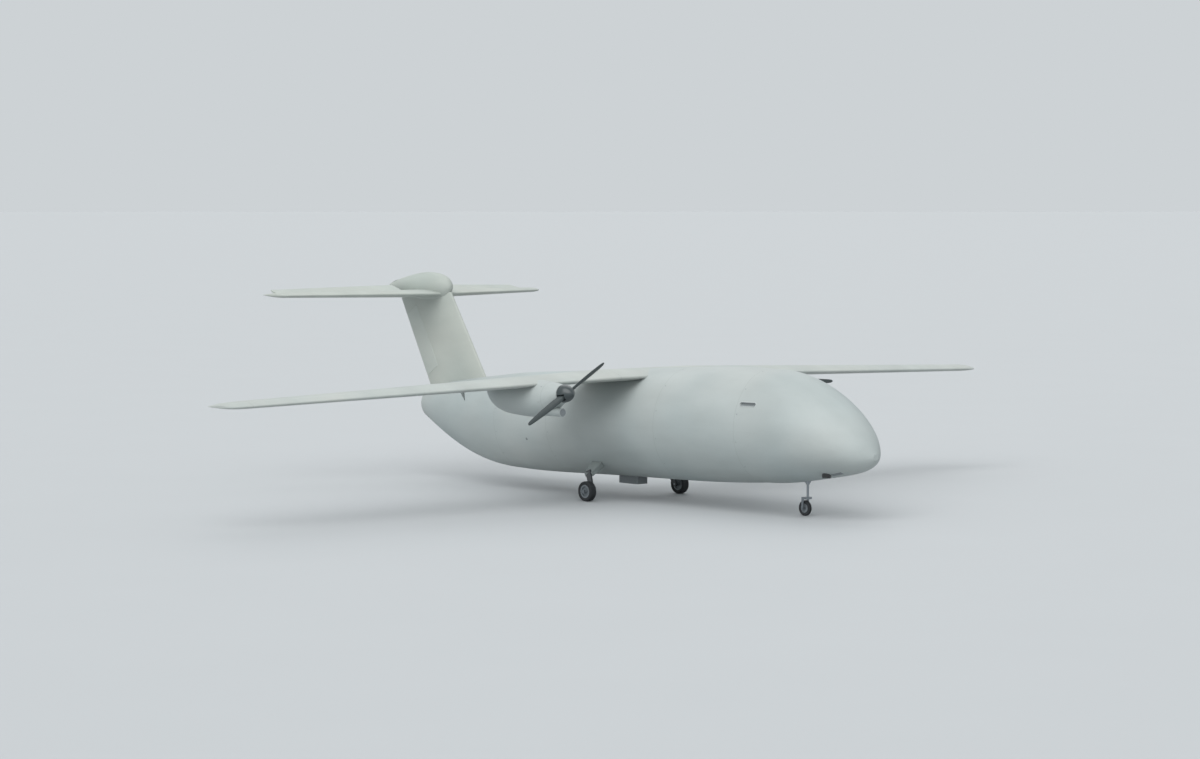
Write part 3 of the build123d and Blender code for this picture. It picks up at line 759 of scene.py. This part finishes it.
class AIRCRAFT_OT_propellers(bpy.types.Operator):
    """Moulded blades, sprayed spinners and the motors behind them"""
    bl_idname = "aircraft.propellers"
    bl_label = "Propellers"

    def execute(self, context):
        settings = context.scene.propeller_finish
        blades = glass_filled_nylon("glass_filled_nylon_blades", settings.blade_colour)
        shell = painted_abs("sprayed_abs_spinner", settings.spinner_colour)
        metal = anodised_aluminium("anodised_aluminium_motor")
        # Sections from the root to the tip, closer together towards the tip
        root, steps = BLADE_ROWS[0][0], 30
        shares = [root + (1 - root) * (1 - (1 - i / steps) ** 1.4) for i in range(steps + 1)]
        # Columns: side, angle at which the first blade has stopped, from upright towards starboard
        for name, stopped in (("port", -92.0), ("stbd", 120.0)):
            coat_node(f"spinner_{name}", shell)
            coat_node(f"motor_{name}", metal)
            low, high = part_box(f"spinner_{name}")
            hub = Vector((low.x + settings.hub_depth, (low.y + high.y) / 2, (low.z + high.z) / 2))
            shape = bmesh.new()
            for angle in (stopped, stopped + 180):
                place = Matrix.Translation(hub) @ Matrix.Rotation(radians(angle), 4, "X")
                skinned(shape, [blade_section(share, settings.radius, place) for share in shares])
            along = Matrix.Translation(hub) @ Matrix.Rotation(pi / 2, 4, "Y")
            hub_front = settings.hub_radius * 0.69
            shaft_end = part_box(f"propeller_{name}")[0].x - hub.x
            cylinder(shape, settings.hub_radius, -settings.hub_depth, hub_front, along, 36)
            cylinder(shape, settings.shaft_radius, shaft_end, 0, along, 24)
            made = add_piece(f"propeller_blades_{name}", shape, f"propeller_{name}", blades)
            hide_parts(f"propeller_{name}")
        return {"FINISHED"}


class AIRCRAFT_OT_wheels(bpy.types.Operator):
    """Tyres with grooves and sidewalls, and moulded hubs with bolts"""
    bl_idname = "aircraft.wheels"
    bl_label = "Wheels"

    def execute(self, context):
        settings = context.scene.wheel_finish
        rubber = moulded_rubber("moulded_rubber", settings.tyre_colour)
        plastic = glass_filled_nylon("moulded_nylon_hub", settings.hub_colour)
        steel = ground_steel("ground_steel_bolts")
        # Columns: tyre, hub, body, middles of the grooves on one half in millimetres, bolts
        for tyre, hub, body, grooves, bolts in (
            ("main_tyre_port", "main_hub_port", "main_wheel_port", (7.2, 2.4), settings.bolts),
            ("main_tyre_stbd", "main_hub_stbd", "main_wheel_stbd", (7.2, 2.4), settings.bolts),
            ("nose_tyre", "nose_hub", "nose_wheel", (2.0,), 0),
        ):
            coat_node(hub, plastic)
            low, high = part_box(tyre)
            centre = (low + high) / 2
            radius, half = (high.z - low.z) / 2, (high.y - low.y) / 2
            hub_low, hub_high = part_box(hub)
            rim, seat = (hub_high.z - hub_low.z) / 2, half * 0.8

            # Half the tyre's outline as distances from the axle and from its middle: bead, sidewall, tread
            outline = [(rim, seat), (rim + 1.2 * MM, seat + 0.3 * MM), (rim + 1.6 * MM, seat + 1.0 * MM)]
            outline += [(rim + (radius - rim) * rise, half * wide) for rise, wide in TYRE_SIDE]
            for middle in grooves:
                for offset, drop in ((0.7, 0), (0.5, 1), (-0.5, 1), (-0.7, 0)):
                    outline.append((radius - drop * settings.groove_depth, (middle + offset) * MM))
            outline += [(r, -along) for r, along in reversed(outline)]
            shape = bmesh.new()
            revolved(shape, outline, Matrix.Translation(centre) @ Matrix.Rotation(-pi / 2, 4, "X"), 96)
            made = add_piece(f"{tyre}_rubber", shape, body, rubber)
            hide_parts(tyre)

            if bolts:
                shape = bmesh.new()
                for way in (1, -1):
                    axle = Matrix.Translation(centre + Vector((0, way * seat * 0.45, 0)))
                    for spot in circle(BOLT_CIRCLE, 0, bolts, axle @ Matrix.Rotation(pi / 2, 4, "X")):
                        place = facing(spot, Vector((0, way, 0)))
                        screw(shape, BOLT_RADIUS, BOLT_RADIUS, -0.2 * MM, 1.5 * MM, place)
                add_piece(f"{hub}_bolts", shape, body, steel)
        return {"FINISHED"}


class AIRCRAFT_OT_gear(bpy.types.Operator):
    """Carbon legs, steel axles, nose fork and its sleeve"""
    bl_idname = "aircraft.gear"
    bl_label = "Landing gear"

    def execute(self, context):
        laminate = carbon_twill("carbon_twill_legs")
        steel = ground_steel("ground_steel_axles")
        for name in SIDES:
            coat_node(f"main_leg_{name}", laminate)
            coat_node(f"main_axle_{name}", steel)
        for node in ("nose_fork", "nose_axle", "nose_sleeve"):
            coat_node(node, steel)
        return {"FINISHED"}


class AIRCRAFT_OT_equipment(bpy.types.Operator):
    """Sensor under the nose, battery inside it, the small fittings of the body, and painted shadow round the
    belly plate
    """
    bl_idname = "aircraft.equipment"
    bl_label = "Equipment"

    def execute(self, context):
        coat_node("nose_sensor", smoked_acrylic("smoked_acrylic_sensor"))
        coat_node("battery", shrunk_film("shrunk_film_battery"))
        coat_node("belly_plate", glass_filled_nylon("glass_filled_nylon_plate", linear("#6A7174")))

        # A thin dark grey patch on the underside, ahead of the sensor's port half, in strips of 5 mm
        low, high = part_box("nose_sensor")
        inner, outer = (low.y + high.y) / 2, high.y
        strips, points = 10, 7
        rings = []
        for i in range(strips + 1):
            x = high.x + (3 + 5 * i) * MM
            spots = []
            for k in range(points):
                below = Vector((x, inner + (outer - inner) * k / (points - 1), 0.05))
                spots.append(skin_point("body_nose", below, below + Vector((0, 0, 0.35))))
            rings.append([point + normal * 0.8 * MM for point, normal in spots]
                         + [point - normal * MM for point, normal in reversed(spots)])
        shape = bmesh.new()
        skinned(shape, rings)
        dark_patch = glass_filled_nylon("glass_filled_nylon_dark_patch", linear("#767D80"))
        add_piece("sensor_dark_patch", shape, "airframe", dark_patch)

        # A rubber plug in the starboard side of the body, behind the wing
        place = facing(*skin_point("body_aft", PLUG_PLACE + Vector((0, -0.4, 0)), PLUG_PLACE))
        shape = bmesh.new()
        cylinder(shape, 6 * MM, -1 * MM, 0.9 * MM, place, 32)
        rubber = moulded_rubber("moulded_rubber_plug", linear("#8C9294"))
        add_piece("body_plug", shape, "airframe", rubber)

        # A dark rubber strip round the top of the belly plate, 1.6 mm outside its edge to 2 mm inside:
        # painted shadow in the gap between the plate and the body
        low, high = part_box("belly_plate")
        middle = (low + high) / 2
        rings = []
        for out, rise in ((1.6, -3), (1.6, 2), (-2, 2), (-2, -3)):
            half_x, half_y = high.x - middle.x + out * MM, high.y - middle.y + out * MM
            rings.append([
                Vector((middle.x + sx * half_x, middle.y + sy * half_y, high.z + rise * MM))
                for sx, sy in ((1, 1), (-1, 1), (-1, -1), (1, -1))
            ])
        shape = bmesh.new()
        skinned(shape, rings, endless=True)
        shadow_gap_strip = moulded_rubber("moulded_rubber_painted_shadow_gap", linear("#34383A"))
        add_piece("belly_painted_shadow_gap", shape, "airframe", shadow_gap_strip, smooth=False)
        return {"FINISHED"}


class AIRCRAFT_OT_vents(bpy.types.Operator):
    """Lips and boards in the slots of the nose, and foam filters in the nacelles' air intakes"""
    bl_idname = "aircraft.vents"
    bl_label = "Vents and intakes"

    def execute(self, context):
        vent = context.scene.vent_finish
        # The lips take the airframe colour without the body's darker tone, so they are lighter than the skin
        # round them: a painted highlight on the slots' rims.
        lip_painted_highlight = sintered_nylon("sintered_nylon_lips_painted_highlight")
        board = glass_filled_nylon("glass_filled_nylon_board", linear("#7C8284"))
        foam = filter_foam("filter_foam")
        for name, side in SIDES.items():
            shape = bmesh.new()
            skinned(shape, slot_sections(vent, side, LIP_PROFILE), endless=True)
            add_piece(f"vent_lip_painted_highlight_{name}", shape, "airframe", lip_painted_highlight)

            # A board 1 mm thick that closes the slot about 5 mm below the skin, with a rim inside the lip
            shape = bmesh.new()
            sections = slot_sections(vent, side, RIM_PROFILE)
            skinned(shape, sections, endless=True)
            inward = Vector((0, -side, 0)) * MM
            skinned(shape, [[section[0] + inward * deep for section in sections] for deep in (4, 5)])
            add_piece(f"vent_board_{name}", shape, "airframe", board)

            low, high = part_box(f"air_intake_{name}")
            radius = (high.z - low.z) / 2 * 0.97
            place = facing(Vector((high.x, (low.y + high.y) / 2, (low.z + high.z) / 2)), Vector((1, 0, 0)))
            shape = bmesh.new()
            cylinder(shape, radius, -0.5 * MM, 1.2 * MM, place, 48)
            add_piece(f"intake_filter_{name}", shape, "airframe", foam)
        return {"FINISHED"}


class AIRCRAFT_OT_seals(bpy.types.Operator):
    """Filler pieces between the ends of the hinged surfaces and the fixed ones"""
    bl_idname = "aircraft.seals"
    bl_label = "Hinge end fillers"

    def execute(self, context):
        joints = {joint["name"]: joint for joint in frame["record"]["behaviour"]["joints"]}
        shape = bmesh.new()
        # Columns: node, its turn at rest from neutral in degrees
        for node, rest in (("aileron_port", 0.0), ("aileron_stbd", 0.0), ("elevator_port", 19.0),
                           ("elevator_stbd", 19.0), ("rudder", 0.0)):
            joint = joints[f"{node}_hinge"]
            origin, axis = Vector(joint["pos_m"]), Vector(joint["axis"]).normalized()
            to_neutral = Matrix.Rotation(radians(-rest), 3, axis)
            spots = [origin + to_neutral @ (vertex.co - origin) for vertex in NODES[node].data.vertices]
            along = [(spot - origin).dot(axis) for spot in spots]
            for way, limit in ((-1, min(along)), (1, max(along))):
                end_face = [spot for spot, far in zip(spots, along) if abs(far - limit) < 0.05 * MM]
                outline = hull(end_face, axis)
                centre = sum(outline, Vector()) / len(outline)
                # A little smaller than the surface, so that it clears the cove round it
                outline = [centre + (spot - centre) * 0.99 for spot in outline]
                skinned(shape, [
                    [spot + axis * way * out for spot in outline] for out in (FILLER_GAP, FILLER_END)
                ])
        nylon = bpy.data.materials["sintered_nylon_tail_painted_light"]
        add_piece("hinge_end_fillers", shape, "airframe", nylon)
        return {"FINISHED"}


STEPS = (
    AIRCRAFT_OT_stage,
    AIRCRAFT_OT_airframe,
    AIRCRAFT_OT_screws,
    AIRCRAFT_OT_propellers,
    AIRCRAFT_OT_wheels,
    AIRCRAFT_OT_gear,
    AIRCRAFT_OT_equipment,
    AIRCRAFT_OT_vents,
    AIRCRAFT_OT_seals,
)


class AIRCRAFT_PT_dressing(bpy.types.Panel):
    """Settings and steps of the aircraft's dressing"""
    bl_label = "Aircraft"
    bl_idname = "AIRCRAFT_PT_dressing"
    bl_space_type = "VIEW_3D"
    bl_region_type = "UI"
    bl_category = "Aircraft"

    def draw(self, context):
        for name, group in SETTINGS:
            box = self.layout.box()
            for prop in group.__annotations__:
                box.prop(getattr(context.scene, name), prop)
        for step in STEPS:
            self.layout.operator(step.bl_idname)


def register():
    for name, group in SETTINGS:
        bpy.utils.register_class(group)
        setattr(bpy.types.Scene, name, PointerProperty(type=group))
    for step in STEPS:
        bpy.utils.register_class(step)
    bpy.utils.register_class(AIRCRAFT_PT_dressing)


def unregister():
    bpy.utils.unregister_class(AIRCRAFT_PT_dressing)
    for step in reversed(STEPS):
        bpy.utils.unregister_class(step)
    for name, group in reversed(SETTINGS):
        delattr(bpy.types.Scene, name)
        bpy.utils.unregister_class(group)


def main():
    register()
    bpy.ops.aircraft.stage()
    bpy.ops.aircraft.airframe()
    bpy.ops.aircraft.screws()
    bpy.ops.aircraft.propellers()
    bpy.ops.aircraft.wheels()
    bpy.ops.aircraft.gear()
    bpy.ops.aircraft.equipment()
    bpy.ops.aircraft.vents()
    bpy.ops.aircraft.seals()


if __name__ == "__main__":
    main()
